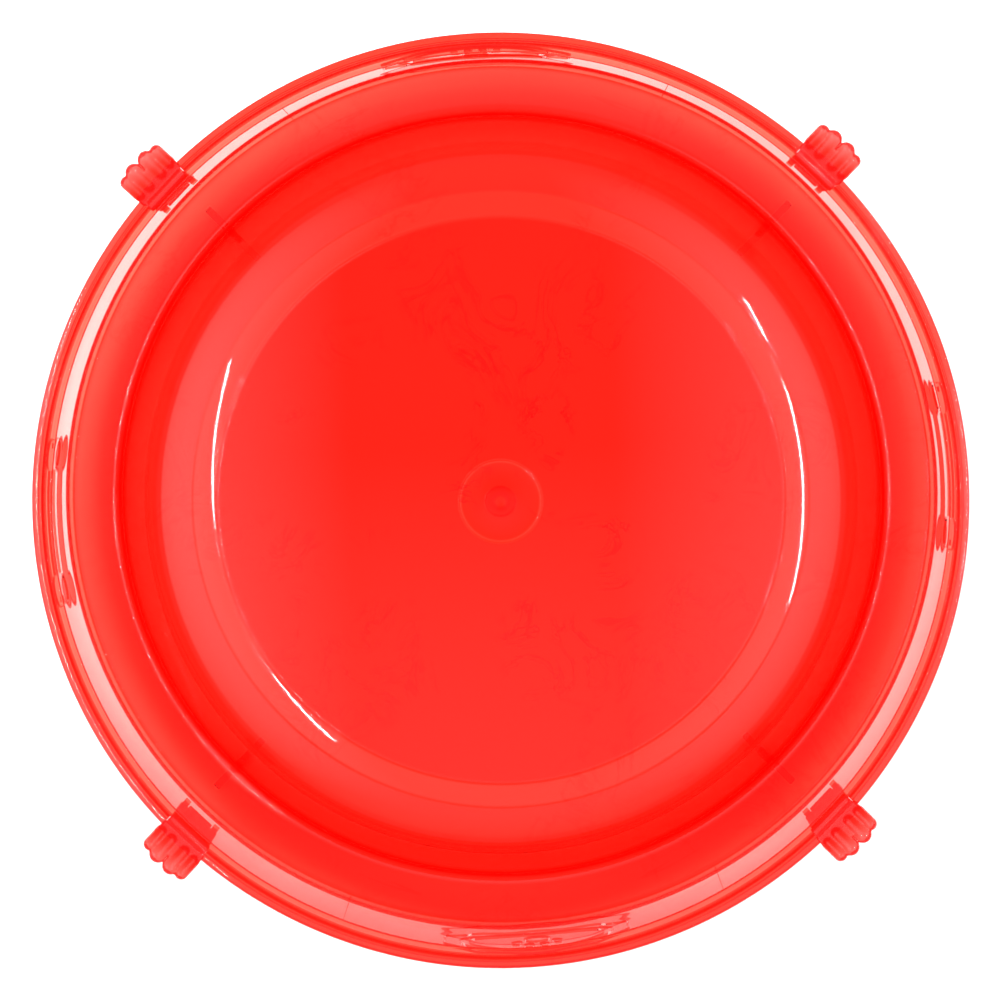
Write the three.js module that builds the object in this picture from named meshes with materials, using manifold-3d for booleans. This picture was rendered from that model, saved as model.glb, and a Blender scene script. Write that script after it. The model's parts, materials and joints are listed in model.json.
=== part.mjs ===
// A round translucent base pan for a small-animal cage, with four snap clips hinged on its wall.
// Millimetres, +Z up. The origin is the middle of the ring that the pan stands on.
import * as THREE from 'three';
import { mergeVertices } from 'three/addons/utils/BufferGeometryUtils.js';
import Module from 'manifold-3d';

const wasm = await Module();
wasm.setup();

// ---- driving dimensions: the pan ----
const rimRadius = 150;
const rimHeight = 48;
const wallThickness = 2.2;
const flangeWidth = 6.3; // from the wall's inner face out to the rim's edge
const wallDraft = 1.9; // how much narrower the wall is at its foot
const ledgeDrop = 1.8; // the seat for the cage ring, below the rim's bead
const beadWidth = 3.7;
const beadEdge = 0.8; // chamfer on the bead
const skirtDepth = 7.5;
const skirtThickness = 1.7;
const moatHeight = 7; // inside of the moat, at the foot of the wall
const moatFall = 2.2; // the moat's floor drops this much towards the middle
const moatWidth = 15.5;
const plateauHeight = 35;
const plateauRadius = 92;
const plateauCrown = 1.5;
const shelfFall = 2; // from the plateau's edge out to the shoulder
const moatLean = 12.4; // run of the moat's inner wall from its top to its foot
const shoulderRound = 7;
const moatRound = 3.5; // cut-back of the moat's inner corner
const wallFootRound = 3; // and of its outer corner
const footInset = 0.3; // the foot ring's middle, inside the foot of the moat's inner wall
const footWidth = 2.8;
const footEdge = 0.5; // chamfer on the foot ring
const gateRadius = 13.2;
const gateDepth = 0.6;
const sprueRadius = 4.9;
const sprueHeight = 0.9;
const sprueDraft = 0.4;
const gateDraft = 0.3;
const ribThickness = 2.3;
const ribOuter = 136; // radius of the foot ribs' outer ends
const ribLength = 21;
const ribLift = 0.6; // the ribs stop this far above the table
const ribTop = 12; // where their inner ends meet the moat's inner wall
const ribChamfer = 1; // at their outer ends
const ribNose = 3; // height of their inner ends
const ribTurn = -1.1; // degrees that the ribs sit to one side of the clips
const turnSteps = 64;

// ---- driving dimensions: the clips and their hinges ----
const clipAngles = [45, 135, 225, 315];
const clipNames = ['clip_back_right', 'clip_back_left', 'clip_front_left', 'clip_front_right'];
const clipWidth = 16;
const armThickness = 2.4;
const armGap = 0.6; // between the arm and the wall
const notchGap = 0.5; // each side of the arm, in the rim
const hingeHeight = 13.5;
const barRadius = 1.4;
const barClearance = 0.3;
const barrelWall = 1.2;
const barrelGap = 0.4; // between the barrel and the wall
const barrelWidth = 10;
const lugThickness = 2.2;
const lugRadius = 2.4;
const lugGap = 0.3;
const mouthShare = 0.85; // the barrel's mouth, as a share of the bar's width
const webInner = 0.8; // where the barrel's web starts, as shares of the barrel's radius
const webOuter = 0.9;
const webLap = 1.5; // how far the web runs up into the arm
const armLift = 0.9; // between the lugs and the foot of the arm
const flareStart = 3; // the arm flares out to the tab from this far below the rim
const flareOut = 1.4;
const flareEnd = 0.6;
const flareReach = 3.4; // how far along the tab the flare ends
const hookReach = 2.6; // how far the hook comes in over the seat
const hookOpening = 3; // height that the hook leaves over the seat
const hookThickness = 2;
const hookSlope = 0.9; // run of the slope on the hook's tip
const hookTip = 0.5; // heights of the slope and of the tip's lower edge
const hookLead = 0.3;
const tabLap = 0.7; // how far the finger tab stands out past each side of the arm
const tabReach = 9.6; // how far the finger tab stands out past the rim, to the big lobes
const tabRise = 6.4; // how far the tab's tip stands above the rim
const tabThickness = 2.6;
const lobeBack = 1.3; // how far the outer lobes stop short of the middle ones
const outerLobeShare = 0.78; // the outer lobes' radius, as a share of the middle ones'
const lobeSpread = 0.45; // added to the middle lobes' radius, so that the lobes overlap
const middleLap = 0.1; // how far the two middle lobes run into each other
const outerProud = 0.35; // how far the outer lobes stand out past the tab's sides
const lobeStart = 0.35; // where the lobes start, as a share of the tab's length
const lobeSwell = 0.62; // half the lobes' thickness, as a share of the tab's
const slabShort = 1.6; // the slab between the lobes ends this far before their middles

// ---- driving dimensions: the raised shapes on the wall ----
const reliefHeight = 0.8;
const boneLength = 55;
const boneWidth = 20;
const boneShaft = 8.2;
const boneHeight = 33; // height of the bone's middle
const badgeLength = 64;
const badgeWidth = 32;
const badgeHeight = 27;
const badgeLobes = 10;
const scallopDepth = 0.07; // how deep its edge is scalloped, as a share of its half width
const boneAngles = [3, 181];
const badgeAngles = [91.5, 273];
const knobSpread = 0.3; // added to the bone's knobs, so that each pair overlaps
const skinStart = 3; // the shapes keep this far above the foot of the wall
const skinSink = 0.6; // how far they are let into the wall

const redPlastic = new THREE.MeshStandardMaterial({ color: 0xf0281c, roughness: 0.25, metalness: 0 });
const clipPlastic = new THREE.MeshStandardMaterial({ color: 0xf4554a, roughness: 0.32, metalness: 0 });

// ---- solids ----
const toSolid = (geometry) => {
  const bare = geometry.index ? geometry.toNonIndexed() : geometry.clone();
  bare.deleteAttribute('normal');
  bare.deleteAttribute('uv');
  const merged = mergeVertices(bare, 1e-4);
  return new wasm.Manifold(new wasm.Mesh({
    numProp: 3,
    vertProperties: new Float32Array(merged.attributes.position.array),
    triVerts: new Uint32Array(merged.index.array),
  }));
};

const toGeometry = (solid) => {
  const mesh = solid.getMesh();
  const geometry = new THREE.BufferGeometry();
  geometry.setAttribute('position', new THREE.BufferAttribute(new Float32Array(mesh.vertProperties), 3));
  geometry.setIndex(new THREE.BufferAttribute(new Uint32Array(mesh.triVerts), 1));
  geometry.computeVertexNormals();
  return geometry;
};

const joinAll = (solids) => solids.reduce((sum, solid) => sum.add(solid));

// A ring or disc from [radius, height] points, going outwards along its top and back underneath.
const turned = (points) => {
  const outline = points.map(([radius, height]) => new THREE.Vector2(radius, height)).reverse();
  const closed = outline[0].x === 0 ? outline : [...outline, outline[0].clone()];
  return toSolid(new THREE.LatheGeometry(closed, turnSteps).rotateX(Math.PI / 2));
};

// A plate from an [outward, up] outline, as wide as told and centred on the clip's middle plane.
const plate = (points, width, across = 0) => {
  const shape = new THREE.Shape(points.map(([out, up]) => new THREE.Vector2(out, up)));
  const geometry = new THREE.ExtrudeGeometry(shape, { depth: width, bevelEnabled: false });
  return toSolid(geometry.translate(0, 0, -width / 2).rotateX(Math.PI / 2).translate(0, across, 0));
};

const rod = (radius, width, out, up, across = 0, steps = 20) => toSolid(
  new THREE.CylinderGeometry(radius, radius, width, steps).translate(out, across, up),
);

const turnTo = (solid, degrees) => solid.rotate([0, 0, degrees]);

// ---- the pan ----
const ledgeHeight = rimHeight - ledgeDrop;
const wallTop = rimRadius - flangeWidth;
const wallFoot = wallTop - wallDraft;
const moatInner = wallFoot - moatWidth;
const footRadius = moatInner - footInset;
const shoulderHeight = plateauHeight - plateauCrown - shelfFall;
const shoulderRadius = moatInner - moatLean;
const wallInnerAt = (height) => wallFoot + (wallDraft * (height - moatHeight)) / (ledgeHeight - moatHeight);
const wallOuterAt = (height) => wallInnerAt(height) + wallThickness;

// Rounds the corner at point b with an arc of the given cut-back, in a few steps.
const rounded = (a, b, c, cut, steps = 3) => {
  const corner = new THREE.Vector2(...b);
  const from = corner.clone().add(new THREE.Vector2(...a).sub(corner).setLength(cut));
  const to = corner.clone().add(new THREE.Vector2(...c).sub(corner).setLength(cut));
  const curve = new THREE.QuadraticBezierCurve(from, corner, to);
  return curve.getPoints(steps).map((point) => [point.x, point.y]);
};

// The line moved square to itself, to the right of its direction.
const offsetLine = (line, distance) => {
  const squares = line.slice(1).map(([x, y], i) => (
    new THREE.Vector2(y - line[i][1], line[i][0] - x).normalize()
  ));
  return line.map(([x, y], i) => {
    const before = squares[Math.max(i - 1, 0)];
    const after = squares[Math.min(i, squares.length - 1)];
    const mean = before.clone().add(after).normalize();
    const reach = distance / mean.dot(before);
    return [x + mean.x * reach, y + mean.y * reach];
  });
};

// The pan's inside, from the crown of the plateau out to the top of the wall.
const insideLine = () => {
  const crownAt = (radius) => plateauHeight - plateauCrown * (radius / plateauRadius) ** 2;
  const edge = [plateauRadius, crownAt(plateauRadius)];
  const shoulder = [shoulderRadius, shoulderHeight];
  const inner = [moatInner, moatHeight - moatFall];
  const foot = [wallFoot, moatHeight];
  return [
    [0, plateauHeight],
    [plateauRadius * 0.5, crownAt(plateauRadius * 0.5)],
    edge,
    ...rounded(edge, shoulder, inner, shoulderRound, 5),
    ...rounded(shoulder, inner, foot, moatRound),
    ...rounded(inner, foot, [wallTop, ledgeHeight], wallFootRound),
    [wallTop, ledgeHeight],
  ];
};

// Where the middle of the pan was filled from: a shallow round recess with the sprue's stub in it.
const gateFloor = plateauHeight - gateDepth;
const gateLine = [
  [0, gateFloor + sprueHeight],
  [sprueRadius - sprueDraft, gateFloor + sprueHeight],
  [sprueRadius, gateFloor],
  [gateRadius, gateFloor],
  [gateRadius + gateDraft, plateauHeight - 0.05], // just under the crown, so the profile never folds
];

const heightOn = (line, radius) => {
  const next = line.findIndex(([r]) => r > radius);
  const [[r0, h0], [r1, h1]] = [line[next - 1], line[next]];
  return h0 + ((h1 - h0) * (radius - r0)) / (r1 - r0);
};

// The pan's underside with the ring that it stands on let into it.
const withFoot = (line) => {
  const inner = footRadius - footWidth / 2;
  const outer = footRadius + footWidth / 2;
  return [
    ...line.filter(([radius]) => radius < inner - 0.5),
    [inner, heightOn(line, inner)], [inner, footEdge], [inner + footEdge, 0],
    [outer - footEdge, 0], [outer, footEdge], [outer, heightOn(line, outer)],
    ...line.filter(([radius]) => radius > outer + 0.5),
  ];
};

const rimLine = () => {
  const skirtFoot = rimHeight - skirtDepth;
  const skirtInner = rimRadius - skirtThickness;
  const beadInner = rimRadius - beadWidth;
  const underLedge = ledgeHeight - wallThickness;
  return [
    [beadInner, ledgeHeight],
    [beadInner + 0.4, rimHeight - beadEdge],
    [beadInner + beadEdge, rimHeight],
    [rimRadius - beadEdge, rimHeight],
    [rimRadius, rimHeight - beadEdge],
    [rimRadius, skirtFoot],
    [skirtInner, skirtFoot],
    [skirtInner, rimHeight - wallThickness],
    [beadInner + beadEdge + 0.4, rimHeight - wallThickness],
    [beadInner + 0.2, underLedge],
    [wallOuterAt(underLedge), underLedge],
  ];
};

const panShell = () => {
  const inside = insideLine();
  const outside = offsetLine(inside, wallThickness);
  outside[0] = [0, plateauHeight - wallThickness];
  outside.pop();
  return turned([...gateLine, ...inside.slice(1), ...rimLine(), ...withFoot(outside).reverse()]);
};

// A foot rib crosses under the moat, from inside the foot ring out towards the wall.
const footRib = () => {
  const inner = ribOuter - ribLength;
  const bottom = moatHeight - moatFall;
  const middleAt = (radius) => bottom + (moatFall * (radius - moatInner)) / moatWidth - wallThickness / 2;
  const climb = (ribTop - bottom) / (shoulderHeight - bottom);
  return plate([
    [inner, ribLift], [ribOuter - ribChamfer, ribLift], [ribOuter, ribLift + ribChamfer],
    [ribOuter, middleAt(ribOuter)], [moatInner, middleAt(moatInner)],
    [moatInner - climb * moatLean - wallThickness / 2, ribTop], [inner, ribLift + ribNose],
  ], ribThickness);
};

const barrelOuter = barRadius + barClearance + barrelWall;
const hingeRadius = wallOuterAt(hingeHeight) + barrelGap + barrelOuter;
const lugMiddle = barrelWidth / 2 + lugGap + lugThickness / 2;

const hingeLug = (side) => {
  const rootRadius = wallOuterAt(hingeHeight) - wallThickness / 2;
  const web = [
    [rootRadius, hingeHeight - lugRadius], [hingeRadius, hingeHeight - lugRadius],
    [hingeRadius, hingeHeight + lugRadius], [rootRadius, hingeHeight + lugRadius],
  ];
  return plate(web, lugThickness, side * lugMiddle)
    .add(rod(lugRadius, lugThickness, hingeRadius, hingeHeight, side * lugMiddle));
};

const hingeBar = () => rod(barRadius, 2 * lugMiddle, hingeRadius, hingeHeight);

const rimNotch = () => {
  const inner = wallOuterAt(ledgeHeight) + armGap / 2;
  const box = new THREE.BoxGeometry(rimRadius, clipWidth + 2 * notchGap, 2 * skirtDepth + 4);
  return toSolid(box.translate(inner + rimRadius / 2, 0, rimHeight));
};

// The wall's outer skin, thickened by the relief: raised shapes are cut from it.
const reliefSkin = () => {
  const low = moatHeight + skinStart;
  const high = ledgeHeight - wallThickness / 2;
  return turned([
    [wallOuterAt(high) - skinSink, high], [wallOuterAt(high) + reliefHeight, high],
    [wallOuterAt(low) + reliefHeight, low], [wallOuterAt(low) - skinSink, low],
  ]);
};

const outlineBlock = (shape, steps) => {
  const options = { depth: rimRadius, bevelEnabled: false, curveSegments: steps };
  const geometry = new THREE.ExtrudeGeometry(shape, options);
  return toSolid(geometry.rotateX(Math.PI / 2).rotateZ(Math.PI / 2));
};

const boneShape = () => {
  const knob = boneWidth / 4 + knobSpread;
  const side = boneLength / 2 - knob;
  const shape = new THREE.Shape();
  shape.moveTo(-side + knob, -boneShaft / 2);
  shape.lineTo(side - knob, -boneShaft / 2);
  shape.absarc(side, -boneWidth / 2 + knob, knob, Math.PI, Math.PI * 2.4, false);
  shape.absarc(side, boneWidth / 2 - knob, knob, -Math.PI * 0.4, Math.PI, false);
  shape.lineTo(-side + knob, boneShaft / 2);
  shape.absarc(-side, boneWidth / 2 - knob, knob, 0, Math.PI * 1.4, false);
  shape.absarc(-side, -boneWidth / 2 + knob, knob, Math.PI * 0.6, Math.PI * 2, false);
  return shape;
};

const badgeShape = () => {
  const steps = badgeLobes * 4;
  const points = Array.from({ length: steps }, (_, i) => {
    const turn = (i / steps) * 2 * Math.PI;
    const half = 0.5 - (scallopDepth * (1 + Math.cos(badgeLobes * turn))) / 4;
    return new THREE.Vector2(Math.cos(turn) * badgeLength * half, Math.sin(turn) * badgeWidth * half);
  });
  return new THREE.Shape(points);
};

const reliefs = () => {
  const skin = reliefSkin();
  const bone = outlineBlock(boneShape(), 5).translate([0, 0, boneHeight]).intersect(skin);
  const badge = outlineBlock(badgeShape(), 1).translate([0, 0, badgeHeight]).intersect(skin);
  return [
    ...boneAngles.map((angle) => turnTo(bone, angle)),
    ...badgeAngles.map((angle) => turnTo(badge, angle)),
  ];
};

const basePan = () => {
  const perClip = joinAll([turnTo(footRib(), ribTurn), hingeLug(-1), hingeLug(1), hingeBar()]);
  const added = clipAngles.map((angle) => turnTo(perClip, angle));
  const notches = clipAngles.map((angle) => turnTo(rimNotch(), angle));
  return joinAll([panShell(), ...added, ...reliefs()]).subtract(joinAll(notches));
};

// ---- the clips ----
const armFoot = hingeHeight + lugRadius + armLift;
const armInnerAt = (height) => wallOuterAt(height) + armGap;
const hookUnder = ledgeHeight + hookOpening;
const hookTop = hookUnder + hookThickness;
const tabWidth = clipWidth + 2 * tabLap;
const middleLobe = tabWidth / (4 * (1 + outerLobeShare)) + lobeSpread;
const outerLobe = middleLobe * outerLobeShare;
const tabTip = [rimRadius + tabReach - middleLobe, rimHeight + tabRise - tabThickness / 2];
const tabRoot = [armInnerAt(rimHeight) + armThickness / 2, hookTop - tabThickness / 2];

const clipArm = () => plate([
  [armInnerAt(armFoot), armFoot],
  [armInnerAt(armFoot) + armThickness, armFoot],
  [armInnerAt(rimHeight) + armThickness, rimHeight - flareStart],
  [armInnerAt(rimHeight) + armThickness + flareOut, rimHeight - flareEnd],
  [tabRoot[0] + flareReach, tabRoot[1]],
  [tabRoot[0], hookTop],
  [armInnerAt(hookUnder), hookTop],
  [armInnerAt(hookUnder) - hookReach + hookSlope, hookTop - hookTip],
  [armInnerAt(hookUnder) - hookReach, hookUnder + hookTip],
  [armInnerAt(hookUnder) - hookReach + hookLead, hookUnder],
  [armInnerAt(hookUnder), hookUnder],
], clipWidth);

const clipTab = () => {
  const run = tabTip[0] - tabRoot[0];
  const rise = tabTip[1] - tabRoot[1];
  const length = Math.hypot(run, rise);
  const thick = tabThickness / 2;
  const slabEnd = length - slabShort;
  const slab = plate([[0, -thick], [slabEnd, -thick], [slabEnd, thick], [0, thick]], tabWidth);
  const lobeAt = (radius, aside, reach) => {
    const start = length * lobeStart;
    const capsule = new THREE.CapsuleGeometry(radius, reach - start, 3, 10);
    capsule.rotateZ(-Math.PI / 2).scale(1, 1, (tabThickness * lobeSwell) / radius);
    return toSolid(capsule.translate((reach + start) / 2, aside, 0));
  };
  const outerReach = length - lobeBack + middleLobe - outerLobe;
  const lobes = [-1, 1].flatMap((side) => [
    lobeAt(middleLobe, side * (middleLobe - middleLap), length),
    lobeAt(outerLobe, side * (tabWidth / 2 - outerLobe + outerProud), outerReach),
  ]);
  const tilt = THREE.MathUtils.radToDeg(Math.atan2(rise, run));
  return joinAll([slab, ...lobes]).rotate([0, -tilt, 0]).translate([tabRoot[0], 0, tabRoot[1]]);
};

// The barrel is a C open at the bottom, so that it snaps over the bar from above.
const clipBarrel = () => {
  const web = plate([
    [hingeRadius - barrelOuter * webInner, hingeHeight],
    [hingeRadius + barrelOuter * webOuter, hingeHeight],
    [armInnerAt(armFoot) + armThickness, armFoot + webLap],
    [armInnerAt(armFoot), armFoot + webLap],
  ], barrelWidth);
  const bore = rod(barRadius + barClearance, barrelWidth + 2, hingeRadius, hingeHeight);
  const mouthHalf = barRadius * mouthShare;
  const [mouthIn, mouthOut] = [hingeRadius - mouthHalf, hingeRadius + mouthHalf];
  const below = hingeHeight - barrelOuter - 1;
  const mouth = plate([
    [mouthIn, hingeHeight], [mouthOut, hingeHeight], [mouthOut, below], [mouthIn, below],
  ], barrelWidth + 2);
  return rod(barrelOuter, barrelWidth, hingeRadius, hingeHeight).add(web).subtract(bore.add(mouth));
};

const snapClip = () => joinAll([clipArm(), clipTab(), clipBarrel()]);

// ---- the assembly ----
const named = (name, solid, material) => {
  const mesh = new THREE.Mesh(toGeometry(solid), material);
  mesh.name = name;
  return mesh;
};

const group = new THREE.Group();
group.add(named('base_pan', basePan(), redPlastic));
clipAngles.forEach((angle, i) => {
  group.add(named(clipNames[i], turnTo(snapClip(), angle), clipPlastic));
});

export default group;
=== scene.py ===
import json
import math

import bmesh
import bpy
from mathutils import Matrix, Vector


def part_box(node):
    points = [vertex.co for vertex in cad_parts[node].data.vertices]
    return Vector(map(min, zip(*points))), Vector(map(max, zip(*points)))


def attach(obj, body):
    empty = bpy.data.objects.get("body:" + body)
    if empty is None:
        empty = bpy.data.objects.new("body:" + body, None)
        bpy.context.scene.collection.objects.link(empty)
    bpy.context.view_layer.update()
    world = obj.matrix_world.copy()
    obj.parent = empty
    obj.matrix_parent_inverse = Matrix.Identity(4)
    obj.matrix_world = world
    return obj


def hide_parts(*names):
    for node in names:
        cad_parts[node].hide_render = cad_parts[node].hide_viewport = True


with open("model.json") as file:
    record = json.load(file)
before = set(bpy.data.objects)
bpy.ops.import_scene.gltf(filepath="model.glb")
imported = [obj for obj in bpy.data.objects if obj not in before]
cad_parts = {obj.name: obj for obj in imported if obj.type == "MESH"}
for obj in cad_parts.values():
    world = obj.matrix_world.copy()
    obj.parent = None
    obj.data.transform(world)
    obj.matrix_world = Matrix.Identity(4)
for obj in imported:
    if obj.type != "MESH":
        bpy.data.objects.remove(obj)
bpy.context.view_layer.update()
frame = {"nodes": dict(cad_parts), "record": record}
print("frame loaded:", ", ".join(frame["nodes"]))

# A round see-through base pan for a small-animal cage, with four snap clips hinged on its wall.
# Shapes are worked out in millimetres and turned to metres when a mesh is made.
mm = 0.001
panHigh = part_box("base_pan")[1]
rimRadius = panHigh.x / mm
rimHeight = panHigh.z / mm


# An sRGB hex colour in the linear light that Blender reckons in.
def linearOf(hexColour, alpha=1.0):
    parts = [int(hexColour[i:i + 2], 16) / 255 for i in (1, 3, 5)]
    toLinear = [p / 12.92 if p <= 0.04045 else ((p + 0.055) / 1.055) ** 2.4 for p in parts]
    return (*toLinear, alpha)


# Adds a node: its settings by name, and its inputs as values or as the sockets that feed them.
def addNode(tree, kind, settings=None, inputs=None):
    node = tree.nodes.new(kind)
    for name, value in (settings or {}).items():
        setattr(node, name, value)
    for name, value in (inputs or {}).items():
        socket = node.inputs[name]
        if isinstance(value, bpy.types.NodeSocket):
            tree.links.new(value, socket)
        else:
            socket.default_value = value
    return node


def newObject(name, mesh):
    piece = bpy.data.objects.new(name, mesh)
    bpy.context.scene.collection.objects.link(piece)
    return piece


def fromBmesh(name, bm):
    mesh = bpy.data.meshes.new(name)
    bm.to_mesh(mesh)
    bm.free()
    return newObject(name, mesh)


# The evaluated mesh becomes the piece's own, and its modifiers go.
def applied(piece):
    bpy.context.view_layer.update()
    graph = bpy.context.evaluated_depsgraph_get()
    mesh = bpy.data.meshes.new_from_object(piece.evaluated_get(graph))
    piece.modifiers.clear()
    old = piece.data
    piece.data = mesh
    bpy.data.meshes.remove(old)
    return piece


def discard(piece):
    mesh = piece.data
    bpy.data.objects.remove(piece)
    bpy.data.meshes.remove(mesh)


# Welds the points that meet and turns every face outwards.
def facingOut(piece, weld=0.00001):
    bm = bmesh.new()
    bm.from_mesh(piece.data)
    bmesh.ops.remove_doubles(bm, verts=bm.verts, dist=weld)
    bmesh.ops.recalc_face_normals(bm, faces=bm.faces)
    if bm.calc_volume(signed=True) < 0:
        bmesh.ops.reverse_faces(bm, faces=bm.faces)
    bm.to_mesh(piece.data)
    bm.free()
    return piece


def boolean(piece, tool, operation):
    modifier = piece.modifiers.new("cut", "BOOLEAN")
    modifier.operation = operation
    modifier.solver = "MANIFOLD"
    modifier.object = tool
    applied(piece)
    discard(tool)
    return piece


def joined(pieces, name):
    bm = bmesh.new()
    for piece in pieces:
        bm.from_mesh(piece.data)
    for piece in pieces:
        discard(piece)
    return fromBmesh(name, bm)


def turnedCopy(piece, degrees, name):
    copy = newObject(name, piece.data.copy())
    copy.data.name = name
    copy.data.transform(Matrix.Rotation(math.radians(degrees), 4, "Z"))
    return copy


def smoothed(piece, crease=32):
    piece.data.polygons.foreach_set("use_smooth", [True] * len(piece.data.polygons))
    piece.data.set_sharp_from_angle(angle=math.radians(crease))
    piece.data.update()
    return piece


# A plate from an [outward, up] outline in millimetres, centred on the clip's middle plane.
def plate(name, outline, width, across=0.0, edge=0.0):
    bm = bmesh.new()
    ring = [bm.verts.new((x * mm, (across - width / 2) * mm, z * mm)) for x, z in outline]
    face = bm.faces.new(ring)
    made = bmesh.ops.extrude_face_region(bm, geom=[face])
    moved = [v for v in made["geom"] if isinstance(v, bmesh.types.BMVert)]
    bmesh.ops.translate(bm, verts=moved, vec=(0, width * mm, 0))
    bmesh.ops.recalc_face_normals(bm, faces=bm.faces)
    if edge:
        sharp = [e for e in bm.edges if e.calc_face_angle(0) > math.radians(25)]
        bmesh.ops.bevel(bm, geom=sharp, offset=edge * mm, segments=3, profile=0.5, affect="EDGES",
                        clamp_overlap=True)
    return fromBmesh(name, bm)


def rod(name, radius, width, out, up, steps=48):
    turn = [2 * math.pi * i / steps for i in range(steps)]
    outline = [(out + radius * math.cos(a), up + radius * math.sin(a)) for a in turn]
    return plate(name, outline, width)


# The pan in millimetres, apart from the rim, whose size the frame gives.
panSize = {
    "wallThickness": 2.2,
    "flangeWidth": 6.3,
    "wallDraft": 1.9,
    "ledgeDrop": 1.8,
    "beadWidth": 3.7,
    "beadEdge": 0.8,
    "skirtDepth": 7.5,
    "skirtThickness": 1.7,
    "moatHeight": 7.0,
    "moatFall": 2.2,
    "moatWidth": 15.5,
    "plateauHeight": 35.0,
    "plateauRadius": 92.0,
    "plateauCrown": 1.5,
    "shelfFall": 2.0,
    "shelfSlope": 0.04,
    "moatLean": 12.4,
    "shoulderRound": 7.0,
    "footWidth": 2.8,
    "footEdge": 0.6,
    "gateRadius": 13.2,
    "gateDepth": 0.5,
    "sprueRadius": 4.9,
    "sprueHeight": 0.9,
    "dimpleRadius": 2.0,
    "dimpleDepth": 0.5,
    "gateSlope": 0.3,       # how wide the sloping edges are at the gate
    "ringStep": 0.25,       # the floor stands this far above the ring round it
    "ringWidth": 7.7,
    "shelfStep": 0.12,      # and the ring this far above the shelf
    "turnSteps": 300,
}
ledgeHeight = rimHeight - panSize["ledgeDrop"]
wallTop = rimRadius - panSize["flangeWidth"]
wallFoot = wallTop - panSize["wallDraft"]
moatInner = wallFoot - panSize["moatWidth"]
footRadius = moatInner - 0.3
shoulderRadius = moatInner - panSize["moatLean"]
shoulderHeight = panSize["plateauHeight"] - panSize["plateauCrown"] - panSize["shelfFall"]


def wallOuterAt(height):
    rise = (height - panSize["moatHeight"]) / (ledgeHeight - panSize["moatHeight"])
    return wallFoot + panSize["wallDraft"] * rise + panSize["wallThickness"]


# Rounds the corner at point b, cut back by the given length, in a few steps.
def roundedCorner(a, b, c, cut, steps):
    a, b, c = Vector(a), Vector(b), Vector(c)
    start = b + (a - b).normalized() * min(cut, (a - b).length * 0.49)
    end = b + (c - b).normalized() * min(cut, (c - b).length * 0.49)
    line = []
    for i in range(steps + 1):
        t = i / steps
        point = start * (1 - t) ** 2 + b * 2 * t * (1 - t) + end * t * t
        line.append((point.x, point.y))
    return line


# Rounds every inner point of a line: each is (radius, height, cut), and a cut of 0 keeps it sharp.
def roundedLine(points, steps=6):
    line = [points[0][:2]]
    for before, here, after in zip(points, points[1:], points[2:]):
        if here[2]:
            line += roundedCorner(before[:2], here[:2], after[:2], here[2], steps)
        else:
            line.append(here[:2])
    return line + [points[-1][:2]]


# The line moved square to itself, to the right of its direction.
def offsetLine(line, distance):
    squares = [Vector((b[1] - a[1], a[0] - b[0])).normalized() for a, b in zip(line, line[1:])]
    moved = []
    for i, point in enumerate(line):
        before, after = squares[max(i - 1, 0)], squares[min(i, len(squares) - 1)]
        mean = (before + after).normalized()
        moved.append(tuple(Vector(point) + mean * (distance / mean.dot(before))))
    return moved


def heightOn(line, radius):
    for (r0, h0), (r1, h1) in zip(line, line[1:]):
        if r0 <= radius < r1:
            return h0 + (h1 - h0) * (radius - r0) / (r1 - r0)
    raise ValueError(f"the line has no radius {radius}")


def crownAt(radius):
    return panSize["plateauHeight"] - panSize["plateauCrown"] * (radius / panSize["plateauRadius"]) ** 2


paleFrom = panSize["moatHeight"] + 2.5  # the painted pale reflection on the wall starts here; the foot of the wall stays a deep red up to here


# The pan's inside, from the middle of the plateau out to the top of the wall.
def insideLine(fine):
    size = panSize
    ringInner = size["plateauRadius"]
    ringOuter = ringInner + size["ringWidth"]
    edgeHeight = crownAt(ringInner)
    drop = size["ringStep"] if fine else 0.0
    step = size["shelfStep"] if fine else 0.0
    shelfWidth = shoulderRadius - ringInner

    def shelfAt(radius, below=0.0):
        fall = (shoulderHeight - edgeHeight) * ((radius - ringInner) / shelfWidth) ** 2
        return (radius, edgeHeight + fall - size["shelfSlope"] * (radius - ringInner) - below, 0)

    # the points stand closer together beside a step, which keeps the shading flat there
    spread = [size["gateRadius"] + r for r in (0.9, 3)] + [*range(24, 75, 10)]
    spread += [ringInner - r for r in (10, 5, 2, 0.7)]
    line = [(r, crownAt(r), 0) for r in spread]
    if fine:
        gateFloor = size["plateauHeight"] - size["gateDepth"]
        sprueTop = gateFloor + size["sprueHeight"]
        slope = size["gateSlope"]
        gate = [
            (0, sprueTop - size["dimpleDepth"], 0),
            (size["dimpleRadius"] - 0.4, sprueTop - size["dimpleDepth"], slope),
            (size["dimpleRadius"], sprueTop, slope),
            (size["sprueRadius"] - slope, sprueTop, slope),
            (size["sprueRadius"], gateFloor, slope),
            (size["gateRadius"], gateFloor, slope),
            (size["gateRadius"] + slope, crownAt(size["gateRadius"]), slope / 2),
        ]
    else:
        gate = [(0, size["plateauHeight"], 0)]
    line = gate + line + [
        (ringInner, edgeHeight, 0),
        *[shelfAt(ringInner + r, drop) for r in (0.5, 0.9, 1.8, 3.2, 4.6, 6.0, 7.2)],
        shelfAt(ringOuter, drop),
        *[shelfAt(ringOuter + r, drop + step) for r in (0.4, 0.8, 1.6, 3.0, 4.6, 6.2)],
        (shoulderRadius, shelfAt(shoulderRadius, drop)[1], size["shoulderRound"]),
        (moatInner, size["moatHeight"] - size["moatFall"], 3.5),
        (wallFoot, size["moatHeight"], 0.7 if fine else 3.0),
        (wallOuterAt(paleFrom) - size["wallThickness"], paleFrom, 0),
        (wallTop, ledgeHeight, 0),
    ]
    return roundedLine(line, 10)


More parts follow.
